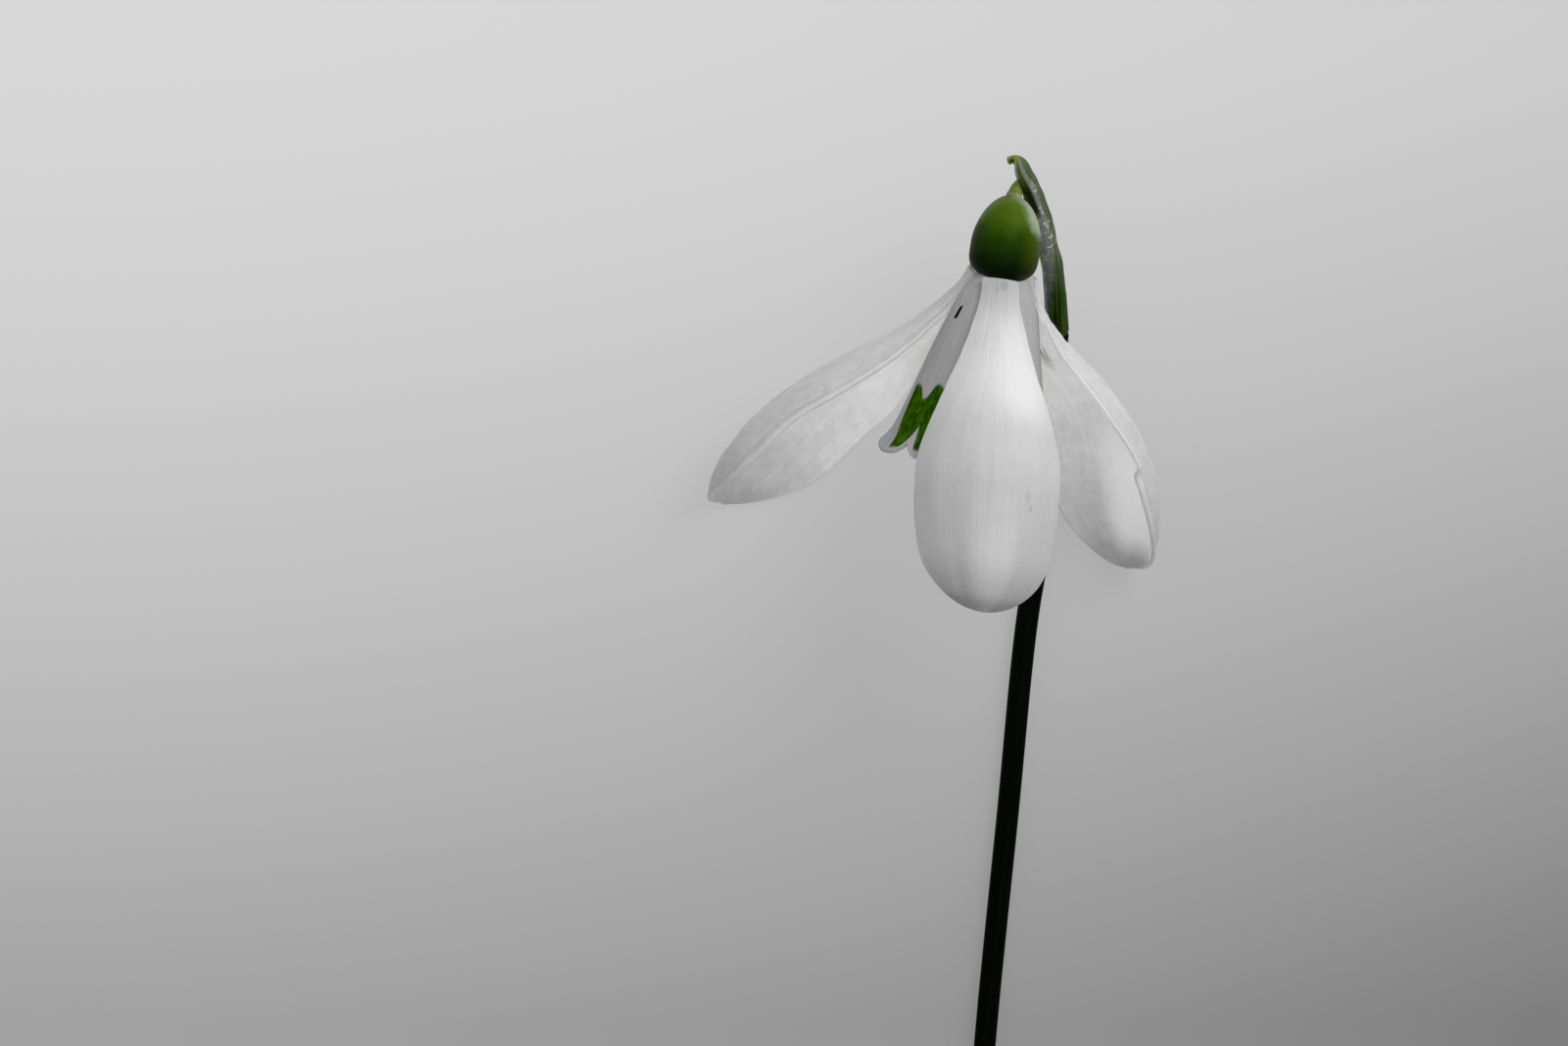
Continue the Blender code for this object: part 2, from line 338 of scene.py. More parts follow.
petalSurface = {
    "Roughness": 0.45, "Specular IOR Level": 0.25, "Subsurface Weight": 0.7,
    "Subsurface Radius": (1.0, 1.0, 1.0), "Subsurface Scale": 0.8 * mm,
}
petalRelief = 0.13 * mm
petalLooks = {
    # tone: painted light and shade along the blade; middle: where across it the midrib lies
    # flank: how bright both sides of the midrib stay under their painted shade; contrast: depth of the
    # veins and mottling
    # crinkle: height of the crinkles beside the veins; rim: strength of a painted highlight along the
    # rolled margin
    # glow: emission that paints in the light coming through the thin blade, at its base and at its tip
    "frontOutside": {
        "tone": ((0, 0.6), (0.09, 0.82), (0.15, 0.88), (0.28, 0.69), (0.4, 0.61), (0.57, 0.65),
                 (0.74, 0.52), (0.86, 0.34), (1, 0.25)),
        "middle": 0.54, "flank": 0.84, "contrast": 0.08, "crinkle": 0.25, "rim": 0, "glow": None,
    },
    "sideOutside": {
        "tone": ((0, 0.7), (0.2, 0.79), (0.5, 0.71), (0.8, 0.56), (1, 0.47)),
        "middle": 0.5, "flank": 1.0, "contrast": 0.2, "crinkle": 0.7, "rim": 0.14, "glow": None,
    },
    "tepalInside": {
        "tone": ((0, 0.95), (0.3, 0.95), (0.5, 0.8), (0.7, 0.66), (0.88, 0.52), (1, 0.4)),
        "middle": 0.5, "flank": 1.0, "contrast": 0.2, "crinkle": 1.1, "rim": 0, "glow": (0.24, 0.1),
    },
    # the inner tepals' outsides are painted an even grey, the painted shade they lie in under the outer
    # tepals
    "innerOutside": {
        "tone": ((0, 0.515), (0.5, 0.505), (1, 0.5)),
        "surface": {"Subsurface Weight": 0.0, "Specular IOR Level": 0.0},
        "middle": 0.5, "flank": 1.0, "contrast": 0.08, "crinkle": 0.15, "rim": 0, "glow": None,
    },
    "innerInside": {
        "tone": ((0, 0.7), (1, 0.75)),
        "middle": 0.5, "flank": 1.0, "contrast": 0.15, "crinkle": 0.3, "rim": 0, "glow": (0.05, 0.05),
    },
}


def petalMaterial(name, look, addMarks=None):
    # fine lengthwise veins that follow the blade, over a faint mottling
    material, tree, shader, places = startMaterial(name, {**petalSurface, **look.get("surface", {})})
    across, along = places["across"], places["along"]
    broad = grain(tree, places["blade"], (16, 1.6, 1), 2, 0.5, 0.3)
    fine = grain(tree, places["blade"], (70, 5, 1), 3, 0.6, 0.4)
    mottle = grain(tree, places["object"], (900, 900, 900), 4, 0.6)
    specks = grain(tree, places["object"], (3800, 3800, 3800), 2, 0.5)
    veins = plus(tree, times(tree, broad, 0.45), times(tree, fine, 0.55))
    marks = plus(tree, times(tree, rise(tree, veins, 0.35, 0.65), 0.5),
                 times(tree, rise(tree, mottle, 0.3, 0.75), 0.5))
    # painted light and shade along the blade
    base = ramp(tree, along, look["tone"])
    base = shaded(tree, base, mixed(tree, marks, 1 - look["contrast"], 1.0))
    aside = plus(tree, away(tree, across, look["middle"]), swing(tree, mottle, 0.06))
    # painted shade on both sides of the midrib
    flank = times(tree, rise(tree, aside, 0.05, 0.22), rise(tree, along, 0.35, 0.62))
    base = mixed(tree, flank, base, shaded(tree, base, look["flank"]))
    # a painted highlight on the rolled margin, with a thin painted shade line along it
    margin = away(tree, across, 0.5)
    line = times(tree, rise(tree, margin, 0.43, 0.455), rise(tree, margin, 0.48, 0.46))
    base = mixed(tree, times(tree, line, look["rim"]), base, 0.25)
    base = mixed(tree, times(tree, rise(tree, margin, 0.46, 0.485), look["rim"]), base, 1.0)
    if addMarks:
        base = addMarks(tree, places, base)
    tree.links.new(base, shader.inputs["Base Color"])
    # a painted glow: emission stands in for the light that comes through the thin blade
    if look["glow"]:
        atBase, atTip = look["glow"]
        glow = mixed(tree, rise(tree, along, 0.3, 0.95), shaded(tree, base, atBase),
                     shaded(tree, base, atTip))
        tree.links.new(glow, shader.inputs["Emission Color"])
        shader.inputs["Emission Strength"].default_value = 1.0
    crinkles = plus(tree, times(tree, mottle, look["crinkle"]),
                    times(tree, specks, look["crinkle"] * 0.35))
    tree.links.new(rise(tree, mottle, 0.2, 0.8, 0.38, 0.5), shader.inputs["Roughness"])
    relief(tree, shader, plus(tree, veins, crinkles), petalRelief)
    return material


def frontMarks(tree, places, base):
    # a painted highlight on the shoulder, darker spots painted as the shade of dimples low on one side,
    # and a grey mottling at the neck
    shine = spot(tree, places, 0.74, 0.15, 0.36, 0.12, 0.0)
    base = mixed(tree, times(tree, shine, 0.9), base, 1.0)
    dimples = ((0.72, 0.4, 0.03, 0.02, 0.2), (0.745, 0.427, 0.018, 0.014, 0.35),
               (0.6, 0.012, 0.16, 0.012, 0.3), (0.42, 0.02, 0.08, 0.01, 0.2))
    for across, along, width, length, share in dimples:
        dimple = spot(tree, places, across, along, width, length, 0.2)
        base = mixed(tree, times(tree, dimple, share), base, 0.25)
    return base


def rightMarks(tree, places, base):
    # painted light beside the rolled margin, where light comes through the blade, with a grey streaked
    # smudge near the base
    lit = times(tree, rise(tree, places["across"], 0.8, 0.5),
                rise(tree, places["along"], 0.42, 0.62), rise(tree, places["along"], 0.9, 0.74))
    base = mixed(tree, lit, base, 0.95)
    streaks = grain(tree, places["blade"], (60, 14, 1), 3, 0.6, 0.4)
    smudge = times(tree, spot(tree, places, 0.735, 0.245, 0.06, 0.07, 0.2),
                   rise(tree, streaks, 0.35, 0.55))
    return mixed(tree, times(tree, smudge, 0.75), base, 0.25)


# places on the inner tepals' marks, as shares across and along the blade
markLook = {
    "dip": 0.46, "dipWidth": 0.17, "dipTop": 0.735, "pointTop": 0.67,
    "firstMargin": (0.17, 0.31), "lastMargin": (0.1, 0.2), "marginFrom": 0.7, "marginTo": 0.98,
    "notch": 0.565, "wedgeFrom": 0.865, "foot": (0.985, 0.96), "wander": 0.03,
    "darkGreen": (0.014, 0.06, 0.0), "lightGreen": (0.05, 0.155, 0.0), "paleRim": (0.46, 0.47, 0.50),
    "dashAcross": 0.472, "dashAlong": 0.297, "dashSlant": -0.64, "dash": (0.001, 0.0008, 0.001),
    "stripes": 9, "stripeGreen": (0.05, 0.15, 0.012),
}


def greenMark(tree, places, base):
    # a green bridge over the notch with two upward points, and two legs that run into the lobes
    look = markLook
    across, along = places["across"], places["along"]
    edgeNoise = grain(tree, places["blade"], (14, 20, 1), 3, 0.6)
    wander = swing(tree, edgeNoise, look["wander"])
    top = rise(tree, away(tree, across, look["dip"]), 0.0, look["dipWidth"],
               look["dipTop"], look["pointTop"])
    mark = rise(tree, plus(tree, minus(tree, along, top), wander), -0.012, 0.012)
    # pale margins that widen towards the lobes
    late = span(tree, along, look["marginFrom"], look["marginTo"])
    for edge, (inner, outer) in ((across, look["firstMargin"]),
                                 (minus(tree, 1.0, across), look["lastMargin"])):
        border = calc(tree, "MULTIPLY_ADD", late, outer - inner, inner)
        reach = minus(tree, plus(tree, edge, wander), border)
        mark = times(tree, mark, rise(tree, reach, -0.015, 0.02))
    # the pale wedge above the notch
    wedge = calc(tree, "MULTIPLY_ADD", span(tree, along, look["wedgeFrom"], 1.0), 0.15, -0.05)
    fromWedge = minus(tree, away(tree, across, look["notch"]), wedge)
    mark = times(tree, mark, rise(tree, fromWedge, -0.005, 0.025))
    mark = times(tree, mark, rise(tree, plus(tree, along, wander), *look["foot"]))
    green = mixed(tree, rise(tree, edgeNoise, 0.35, 0.65), look["darkGreen"], look["lightGreen"])
    rim = mixed(tree, times(tree, late, rise(tree, along, 0.8, 0.95)), base, look["paleRim"])
    return mixed(tree, mark, rim, green)


def dashedMark(tree, places, base):
    # a thin dark dash lies aslant on this blade, near its base
    look = markLook
    fromMiddle = minus(tree, places["along"], look["dashAlong"])
    line = calc(tree, "MULTIPLY_ADD", fromMiddle, look["dashSlant"], look["dashAcross"])
    dash = times(tree, rise(tree, away(tree, places["across"], line), 0.05, 0.032),
                 rise(tree, away(tree, places["along"], look["dashAlong"]), 0.04, 0.033))
    return mixed(tree, dash, greenMark(tree, places, base), look["dash"])


def greenStripes(tree, places, base):
    # the inside has green stripes that run towards the lobes
    look = markLook
    lines = calc(tree, "SINE", times(tree, places["across"], 2 * pi * look["stripes"]))
    wander = grain(tree, places["blade"], (10, 6, 1), 3, 0.6)
    inStripe = rise(tree, plus(tree, lines, times(tree, wander, 0.8)), 0.1, 0.7)
    length = times(tree, rise(tree, places["along"], 0.3, 0.6), rise(tree, places["along"], 0.96, 0.9))
    sides = rise(tree, away(tree, places["across"], 0.5), 0.42, 0.3)
    return mixed(tree, times(tree, inStripe, length, sides), base, look["stripeGreen"])


outerTepals = {
    # spine: four Bezier points in mm (along the flower's axis, out from it, to the side)
    # angle, twist and curl in degrees; lengths in mm; places and widths as shares of the blade
    # left and right: width of each side along the blade, as a share of its half width
    "front": {
        "node": "outer_tepal_front", "angle": 3.9, "twist": (7.5, -0.8), "halfWidth": 5.5, "curl": 66,
        "spine": ((0, 3.05, -0.35), (10.3, 7.0, 0.65), (17.8, 13.9, 1.2), (25.0, 14.3, 1.55)),
        "left": ((0, 1), (0.3, 1.0), (0.6, 1.08), (0.9, 0.99), (1, 0.99)),
        "right": ((0, 1), (0.3, 0.95), (0.6, 0.98), (0.9, 1), (1, 1)),
        "widest": 0.5, "seed": 1, "ridge": 0.02, "keel": 0.2, "wave": 0.06,
        "crinkle": 0.02, "roll": 0.05, "lip": 0, "lipEnd": 1,
    },
    "left": {
        "node": "outer_tepal_left", "angle": -109, "twist": (-22, 32), "halfWidth": 5.9, "curl": 80,
        "spine": ((0, 3.05, 0), (8.0, 4.6, 0), (10.2, 19.1, 0.5), (24.6, 21.1, -1.3)),
        "left": ((0, 1), (0.3, 1.07), (0.6, 0.98), (0.9, 1.08), (1, 1.08)),
        "right": ((0, 1), (0.3, 0.83), (0.6, 0.85), (0.9, 1.3), (1, 1.3)),
        "widest": 0.59, "seed": 2, "ridge": 0.06, "keel": 0, "wave": 0.08,
        "crinkle": 0.11, "roll": 0.08, "lip": 0, "lipEnd": 1,
    },
    "right": {
        "node": "outer_tepal_right", "angle": 114, "twist": (3, -35), "halfWidth": 5.7, "curl": 79,
        "spine": ((0, 3.05, 0), (7.5, 3.0, 0.1), (5.5, 13.8, -1.6), (24.5, 16.7, 1.7)),
        "left": ((0, 1), (0.3, 0.95), (0.6, 1.0), (0.9, 1.31), (1, 1.31)),
        "right": ((0, 1), (0.3, 1.02), (0.6, 0.72), (0.9, 1.07), (1, 1.07)),
        "widest": 0.58, "seed": 3, "ridge": 0.08, "keel": 0, "wave": 0.08,
        "crinkle": 0.11, "roll": 0.12, "lip": 0.85, "lipEnd": 0.74,
    },
}
outerShape = {
    "thickness": 0.42,  # mm, inwards from the outside
    "start": -0.6,      # mm, so that the bases reach up round the ovary's foot
    "claw": 0.24, "tipPower": 7, "curlPower": 0.6, "tuck": 0.45, "ribs": 5,
    "lipFrom": 0.25, "marginFrom": 0.8, "columns": 48, "rows": 110,
}


def tepalPoint(look, u, v, halfChord, halfAngle, lift):
    # a point of the blade: an arc across the spine, turned by its twist and lifted outwards
    turn = radians(look["angle"])
    axes = Matrix(((0, 0, 1), (sin(turn), cos(turn), 0), (cos(turn), -sin(turn), 0))).transposed()
    place, heading = bezier(look["spine"], u)
    place.y -= look["tuck"] * (1 - smoothStep(u / 0.2))
    first, last = look["twist"]
    twist = Matrix.Rotation(radians(first + (last - first) * u), 3, axes @ heading)
    outward = twist @ axes @ Vector((-heading.y, heading.x, 0)).normalized()
    across = twist @ axes @ Vector((0, 0, 1))
    radius = halfChord / sin(halfAngle)
    angle = halfAngle * v
    bend = across * radius * sin(angle) - outward * radius * (1 - cos(angle))
    bend += (outward * cos(angle) + across * sin(angle)) * lift
    return flowerFrame @ ((axes @ place + bend) * mm + Vector((0, 0, look["start"] * mm)))


def outerTepal(name, own, materials):
    look = {**outerShape, **own}
    seed = look["seed"]

    def place(u, v):
        u = sin(u * pi / 2)  # rows closer together at the rounded tip
        claw = look["claw"] + (1 - look["claw"]) * smoothStep(u / look["widest"])
        share = claw * sqrt(max(1 - u**look["tipPower"], 1e-7))
        curl = radians(look["curl"]) * share**look["curlPower"]
        side = alongCurve(look["left"] if v < 0 else look["right"], u)
        frill = smoothStep(u / 0.03) * smoothStep((0.4 - u) / 0.2)
        edge = 1 + 0.012 * wobble(u * 9, 2 + (v > 0), seed)
        edge += 0.05 * wobble(u * 30, 5 + (v > 0), seed) * frill
        fade = smoothStep(u / 0.15) * smoothStep((1 - u) / 0.12)
        # shallow lengthwise channels between soft ribs, and a slow wave near the margins
        phase = v * pi * look["ribs"] + 0.6 * wobble(u * 2, v, seed)
        lift = look["thickness"] - look["ridge"] * fade * share * cos(phase)
        lift += look["wave"] * fade * wobble(u * 5, v * 1.4, seed + 5) * (0.4 + v * v)
        lift += look["crinkle"] * fade * wobble(u * 26, v * 9, seed + 9) * smoothStep((1 - abs(v)) / 0.1)
        # a low keel along the middle, towards the tip
        keel = smoothStep((u - 0.35) / 0.4) * smoothStep((1 - u) / 0.1)
        lift += look["keel"] * keel * max(0.0, 1 - (v / 0.4) ** 2)
        # both margins roll a little, and one rolls over as a lip that ends in a step
        lip = 0.0
        if v < 0:
            lip = smoothStep((u - look["lipFrom"]) / 0.2) * smoothStep((look["lipEnd"] - u) / 0.03)
        margin = max(0.0, (abs(v) - look["marginFrom"]) / (1 - look["marginFrom"]))
        lift += (look["roll"] * fade + look["lip"] * lip) * margin**2
        return tepalPoint(look, u, v * side * edge, look["halfWidth"] * share, curl, lift)

    mesh = sheetMesh(name, look["columns"], look["rows"], place)
    piece = addPiece(name, mesh, materials, look["node"])
    thicken(piece, look["thickness"] * mm, 1)
    soften(piece)


innerTepals = {
    # flare: how far the blade stands out; slant: how much shorter one side is
    "left": {"node": "inner_tepal_left", "angle": -54, "flare": 1.04, "slant": 0.035, "seed": 11},
    "right": {"node": "inner_tepal_right", "angle": 64, "flare": 0.84, "slant": 0, "seed": 12},
    "back": {"node": "inner_tepal_back", "angle": -173, "flare": 0.92, "slant": 0, "seed": 13},
}
innerShape = {
    "spine": ((0, 2.35, 0), (2.5, 4.0, 0), (10.0, 4.4, 0), (15.4, 7.0, 0)),
    "halfWidth": 4.0, "claw": 0.3, "widest": 0.85, "curl": (35, 29), "twist": (0, 0),
    "notch": 0.06, "notchPlace": 0.12, "notchPower": 1.5, "lobe": 0.3, "corner": 0.07,
    "cornerPower": 2.5, "tuck": 0.3, "start": -0.5, "thickness": 0.34, "outside": 0.1,
    "ridge": 0.03, "ribs": 6, "wave": 0.12, "roll": 0.55, "columns": 44, "rows": 72,
}


def innerTepal(name, own, materials):
    look = {**innerShape, **own}
    seed = look["seed"]
    start = look["spine"][0][1]
    look["spine"] = [(along, start + (out - start) * look["flare"], side)
                     for along, out, side in look["spine"]]
    lobe = look["lobe"]

    def place(u, v):
        notch = look["notch"] * max(0.0, 1 - abs(v - look["notchPlace"]) / lobe) ** look["notchPower"]
        corner = look["corner"] * max(0.0, (abs(v) - lobe) / (1 - lobe)) ** look["cornerPower"]
        s = u * (1 - notch - corner - look["slant"] * v)
        share = look["claw"] + (1 - look["claw"]) * smoothStep(s / look["widest"])
        first, last = look["curl"]
        fade = smoothStep(u / 0.2)
        phase = v * pi * look["ribs"] + 0.5 * wobble(u * 3, v, seed)
        lift = look["outside"] - look["ridge"] * fade * share * cos(phase)
        lift += look["wave"] * fade * wobble(u * 4, v * 2, seed + 3)
        lift += look["roll"] * max(0.0, (u - 0.88) / 0.12) ** 2  # the lobes turn outwards
        edge = 1 + 0.015 * wobble(u * 8, 3 + (v > 0), seed)
        return tepalPoint(look, s, v * edge, look["halfWidth"] * share,
                          radians(first + (last - first) * s), lift)

    mesh = sheetMesh(name, look["columns"], look["rows"], place)
    piece = addPiece(name, mesh, materials, look["node"])
    thicken(piece, look["thickness"] * mm, 1)
    soften(piece)


def buildTepals():
    front = petalMaterial("frontOutside", petalLooks["frontOutside"], frontMarks)
    rightInside = petalMaterial("rightInside", petalLooks["tepalInside"], rightMarks)
    side = petalMaterial("sideOutside", petalLooks["sideOutside"])
    inside = petalMaterial("tepalInside", petalLooks["tepalInside"])
    finishes = {"front": [front, inside], "left": [side, inside], "right": [side, rightInside]}
    for name, own in outerTepals.items():
        outerTepal("outerTepal" + name.capitalize(), own, finishes[name])

    marked = petalMaterial("innerOutside", petalLooks["innerOutside"], greenMark)
    dashed = petalMaterial("innerSpecked", petalLooks["innerOutside"], dashedMark)
    striped = petalMaterial("innerInside", petalLooks["innerInside"], greenStripes)
    finishes = {"left": [dashed, striped], "right": [marked, striped], "back": [marked, striped]}
    for name, own in innerTepals.items():
        innerTepal("innerTepal" + name.capitalize(), own, finishes[name])


ovaryLook = {
    # mm, from the widest ring up to the stalk and down to the tepals
    "radius": 2.87, "above": 4.2, "below": 2.9, "aside": -0.14, "neck": 0.62, "neckRise": 0.35,
    "topPower": 1.75, "footPower": 4.5, "ringsAbove": 25, "ringsBelow": 15, "sides": 64,
    "surface": {"Roughness": 0.45, "Specular IOR Level": 0.04, "Subsurface Weight": 0.05,
                "Subsurface Radius": (0.5, 1.0, 0.2), "Subsurface Scale": 0.6 * mm},
    # colours from the foot up, with painted shade that darkens the body to near black at the foot: mm
    # above the foot where each starts and is full
    "footColour": (0.002, 0.0075, 0.0001),
    "colours": ((1.2, 4.0, (0.014, 0.046, 0.0004)), (3.6, 6.0, (0.07, 0.13, 0.003)),
                (6.0, 7.0, (0.115, 0.165, 0.03)), (6.7, 7.2, (0.19, 0.25, 0.11))),
    "oliveLow": (0.014, 0.026, 0.0008), "oliveHigh": (0.05, 0.085, 0.001),
    # painted highlights: a broad one on the shoulder and a thin one down the other side
    "shoulderHighlight": (0.34, 0.42, 0.28), "thinRimHighlight": (0.16, 0.22, 0.10), "relief": 0.05 * mm,
}


def ovaryMaterial(look):
    material, tree, shader, places = startMaterial("ovarySkin", look["surface"])
    # mm from the foot, in the flower's own frame
    mapping = tree.nodes.new("ShaderNodeMapping")
    mapping.vector_type = "TEXTURE"
    mapping.inputs["Location"].default_value = foot
    mapping.inputs["Rotation"].default_value = flowerFrame.to_euler()
    mapping.inputs["Scale"].default_value = (mm, mm, mm)
    tree.links.new(places["object"], mapping.inputs["Vector"])
    split = tree.nodes.new("ShaderNodeSeparateXYZ")
    tree.links.new(mapping.outputs[0], split.inputs[0])
    right = split.outputs[0]
    patches = grain(tree, places["object"], (700, 700, 700), 3, 0.5)
    height = plus(tree, times(tree, split.outputs[2], -1.0), swing(tree, patches, 1.2))
    body = look["footColour"]
    for low, high, tone in look["colours"]:
        body = mixed(tree, rise(tree, height, low, high), body, tone)
    # the olive side also darkens towards the foot as painted shade
    olive = mixed(tree, rise(tree, height, 1.0, 4.0), look["oliveLow"], look["oliveHigh"])
    body = mixed(tree, rise(tree, right, 0.8, 2.4), body, olive)
    # a painted highlight along the shoulder beside the sheath, and a thin painted highlight down the
    # other side
    lean = times(tree, minus(tree, height, 4.5), 0.68)
    shoulderHighlight = times(tree, rise(tree, plus(tree, lean, right), 1.65, 2.55), rise(tree, height, 3.4, 4.9))
    body = mixed(tree, shoulderHighlight, body, look["shoulderHighlight"])
    thin = times(tree, rise(tree, minus(tree, lean, right), 2.3, 3.0, 0.0, 0.5),
                 rise(tree, height, 3.6, 5.0))
    body = mixed(tree, thin, body, look["thinRimHighlight"])
    tree.links.new(body, shader.inputs["Base Color"])
    tree.links.new(rise(tree, patches, 0.2, 0.8, 0.3, 0.44), shader.inputs["Roughness"])
    cells = grain(tree, places["object"], (5200, 5200, 5200), 2, 0.5)
    relief(tree, shader, plus(tree, times(tree, cells, 0.3), patches), look["relief"])
    return material


def buildOvary():
    look = ovaryLook
    above, below, neck = look["above"], look["below"], look["neck"]

    def radius(height):
        share = height / above if height > 0 else -height / below
        power = look["topPower"] if height > 0 else look["footPower"]
        return look["radius"] * sqrt(max(1 - share**power, 0))

    # a short collar on top, where the stalk grows in
    collar = above + look["neckRise"]
    outline = [(0, collar), (neck * 0.7, collar), (neck, above + look["neckRise"] * 0.7),
               (neck * 1.05, above)]
    for i in range(look["ringsAbove"] + 1):
        height = above * cos(pi / 2 * i / look["ringsAbove"])
        if radius(height) >= neck:
            outline.append((radius(height), height))
    for i in range(1, look["ringsBelow"] + 1):
        height = -below * sin(pi / 2 * i / look["ringsBelow"])
        outline.append((radius(height), height))
    outline.append((0, -below))
    place = (flowerFrame @ Matrix.Translation((look["aside"] * mm, 0, -below * mm))
             @ Matrix.Rotation(pi, 4, "X"))
    mesh = turnedMesh("ovary", outline, look["sides"], place)
    piece = addPiece("ovaryBody", mesh, [ovaryMaterial(look)], "ovary")
    soften(piece)


# centre lines in mm: x and y from the flower's foot, z from the surface
stemLook = {
    "path": ((-2.2, -79.0, 0.92), (-0.9, -62.0, 0.92), (0.9, -44.0, 0.94), (2.5, -28.0, 0.95),
             (4.6, -16.0, 0.98), (4.75, -8.0, 1.7), (4.9, -4.15, 4.2)),
    "steps": 16, "radii": (0.9, 0.96), "sides": 32, "relief": 0.06 * mm,
    "surface": {"Roughness": 0.6, "Specular IOR Level": 0.02},
    # dark and light are both near black: painted shade over the stem's dark green
    "dark": (0.0004, 0.0008, 0.0003), "light": (0.0012, 0.0028, 0.0008),
}
stalkLook = {
    "path": ((4.82, -3.9, 4.55), (4.28, -0.6, 7.45), (3.6, 2.3, 10.0), (2.72, 5.2, 12.35),
             (2.35, 6.2, 13.4), (2.1, 7.1, 14.6), (1.85, 7.72, 15.45), (1.52, 7.85, 15.75),
             (1.26, 7.55, 15.65), (1.1, 7.1, 15.4)),
    "steps": 8, "radius": 0.42, "swell": 0.4, "swellFrom": 0.8, "sides": 20, "relief": 0.05 * mm,
    "surface": {"Roughness": 0.42, "Specular IOR Level": 0.12, "Subsurface Weight": 0.15,
                "Subsurface Radius": (0.6, 1.0, 0.3), "Subsurface Scale": 0.4 * mm},
    "dark": (0.11, 0.16, 0.008), "light": (0.30, 0.34, 0.09),
}
sheathLook = {
    "path": ((4.85, -3.9, 4.5), (4.45, -0.6, 7.4), (3.9, 2.3, 9.9), (3.1, 5.2, 12.3),
             (2.08, 7.6, 14.9), (1.1, 9.25, 16.6), (0.35, 9.85, 16.9)),
    "steps": 14, "columns": 32, "opening": Vector((-1, 0.25, 0.35)), "radius": 1.04,
    "thickness": 0.22, "ripple": 0.13, "relief": 0.16 * mm,
    # degrees to each side of its back, and share of its radius, along it
    "halfAngle": ((0, 150), (0.2, 134), (0.4, 122), (0.6, 104), (0.8, 112), (1, 90)),
    "width": ((0, 1), (0.3, 1.0), (0.6, 0.95), (0.84, 0.8), (0.95, 0.4), (1, 0.2)),
    "surface": {"Roughness": 0.3, "Specular IOR Level": 0.04},
    # the first colour of a pair lies at the stem, or in the lines
    "greenLow": ((0.002, 0.011, 0.0001), (0.035, 0.075, 0.001)),
    "greenHigh": ((0.05, 0.085, 0.03), (0.14, 0.18, 0.09)),
    "membrane": ((0.067, 0.075, 0.078), (0.24, 0.25, 0.23)),
    # fold: painted shade inside the curled edge beside the stalk, then yellow-green above it
    "fold": ((0.012, 0.018, 0.003), (0.07, 0.11, 0.004)),
    # glint and rim: painted highlights
    "glint": (0.62, 0.65, 0.58), "rim": (0.30, 0.32, 0.32), "bend": (0.27, 0.28, 0.27),
    "hook": (0.24, 0.34, 0.015), "tip": (0.6, 0.62, 0.56),
}


def lyingPath(look):
    base = Vector((foot.x, foot.y, 0))
    return [base + point * mm for point in smoothPath(look["path"], look["steps"])]


def buildStem():
    look = stemLook
    material, tree, shader, places = startMaterial("stemSkin", look["surface"])
    lines = grain(tree, places["blade"], (24, 3, 1), 3, 0.5)
    patches = grain(tree, places["object"], (500, 90, 500), 3, 0.5)
    shade = times(tree, rise(tree, lines, 0.3, 0.7), rise(tree, patches, 0.2, 0.8, 0.3, 1.0))
    tree.links.new(mixed(tree, shade, look["dark"], look["light"]), shader.inputs["Base Color"])
    tree.links.new(rise(tree, lines, 0.2, 0.8, 0.45, 0.65), shader.inputs["Roughness"])
    relief(tree, shader, lines, look["relief"])

    def radius(t):
        first, last = look["radii"]
        return (first + (last - first) * t) * mm

    mesh = tubeMesh("stem", lyingPath(look), radius, look["sides"])
    addPiece("stem", mesh, [material], "scape")


def buildStalk():
    look = stalkLook
    material, tree, shader, places = startMaterial("stalkSkin", look["surface"])
    lines = grain(tree, places["blade"], (14, 6, 1), 3, 0.5)
    tree.links.new(mixed(tree, lines, look["dark"], look["light"]), shader.inputs["Base Color"])
    relief(tree, shader, lines, look["relief"])

    def radius(t):
        # it swells where it grows into the ovary
        swell = smoothStep((t - look["swellFrom"]) / (1 - look["swellFrom"]))
        return look["radius"] * mm * (1 + look["swell"] * swell)

    mesh = tubeMesh("stalk", lyingPath(look), radius, look["sides"])
    addPiece("stalk", mesh, [material], "pedicel")


